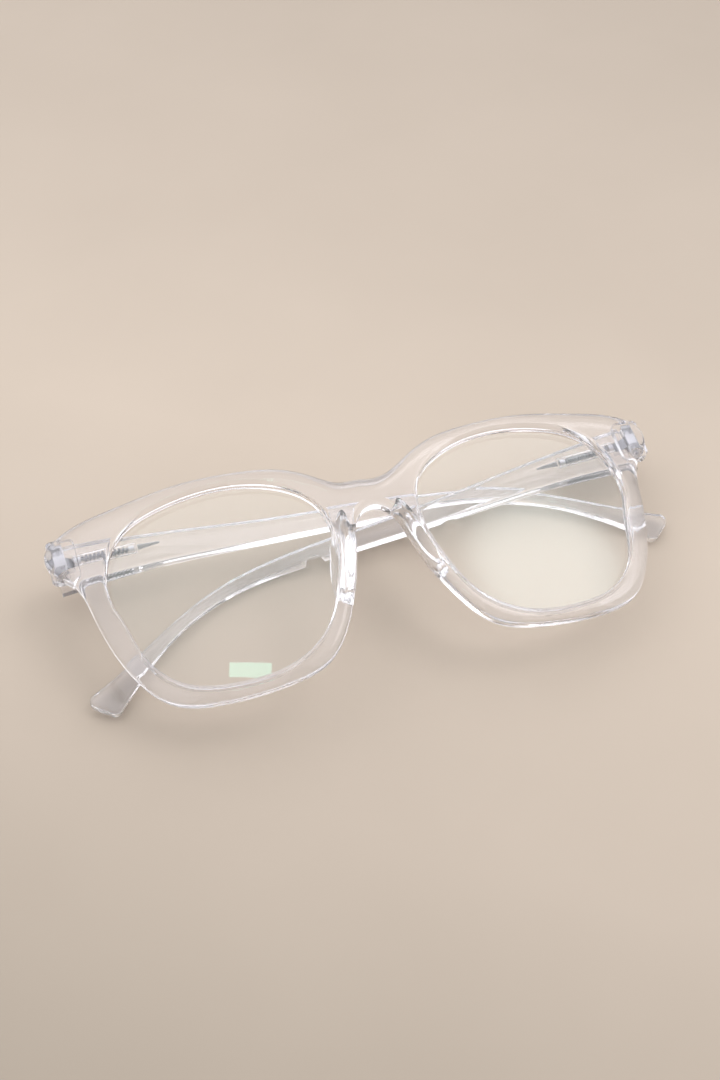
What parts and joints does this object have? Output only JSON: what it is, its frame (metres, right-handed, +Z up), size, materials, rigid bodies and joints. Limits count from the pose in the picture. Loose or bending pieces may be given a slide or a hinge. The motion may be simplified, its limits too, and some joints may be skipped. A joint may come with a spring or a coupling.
{
  "type": "eyeglasses",
  "caption": "Clear plastic eyeglasses with thick rounded rims, moulded nose pads and folded, bowed temples on spring hinges.",
  "frame": {"origin": "centre of the bounding box's base, on the ground plane the folded glasses lie on", "axes": "+X along the front, to the viewer's right; +Y towards the top of the front; +Z up, out of the lenses' front faces. The temples are folded behind the front, that is below it."},
  "size_m": [0.1432, 0.0524, 0.0272],
  "materials": {
    "clear_frame": "clear polished acetate with a faint lilac tint",
    "clear_temple": "clear polished acetate with a faint lilac tint",
    "lens": "clear polished lens with a faint green coating",
    "hinge_steel": "satin steel",
    "screw_steel": "polished steel",
    "spring_steel": "drawn spring wire",
    "plunger_steel": "dark oiled steel",
    "dark_steel": "dark tapered pin"
  },
  "bodies": {
    "front": {"front_frame": "clear_frame", "lens_left": "lens", "lens_right": "lens", "left_front_hinge": "hinge_steel", "left_hinge_screw": "screw_steel", "right_front_hinge": "hinge_steel", "right_hinge_screw": "screw_steel"},
    "left_slider": {"left_plunger": "plunger_steel", "left_stop_nut": "hinge_steel", "left_spring": "spring_steel"},
    "left_arm": {"left_temple": "clear_temple", "left_bushing": "hinge_steel", "left_tail_pin": "dark_steel"},
    "right_slider": {"right_plunger": "plunger_steel", "right_stop_nut": "hinge_steel", "right_spring": "spring_steel"},
    "right_arm": {"right_temple": "clear_temple", "right_bushing": "hinge_steel", "right_tail_pin": "dark_steel"}
  },
  "joints": [
    {"name": "left_spring_slide", "type": "slide", "parent": "left_arm", "child": "left_slider", "axis": [-0.999, -0.0439, 0.0119], "range_m": [0, 0.0015], "stiffness_N_per_m": 4000, "springref_m": -0.0005, "deforming": ["left_spring"]},
    {"name": "left_fold", "type": "hinge", "parent": "left_slider", "child": "front", "pos_m": [-0.06807, 0.02061, 0.01211], "axis": [0.0414, -0.9855, -0.1648], "range_deg": [0, 105]},
    {"name": "right_fold", "type": "hinge", "parent": "front", "child": "right_slider", "pos_m": [0.0679, 0.02061, 0.00896], "axis": [0.0414, -0.9855, -0.1648], "range_deg": [0, 105]},
    {"name": "right_spring_slide", "type": "slide", "parent": "right_slider", "child": "right_arm", "axis": [-0.999, -0.0439, 0.0119], "range_m": [0, 0.0015], "stiffness_N_per_m": 4000, "springref_m": -0.0005, "deforming": ["right_spring"]}
  ]
}
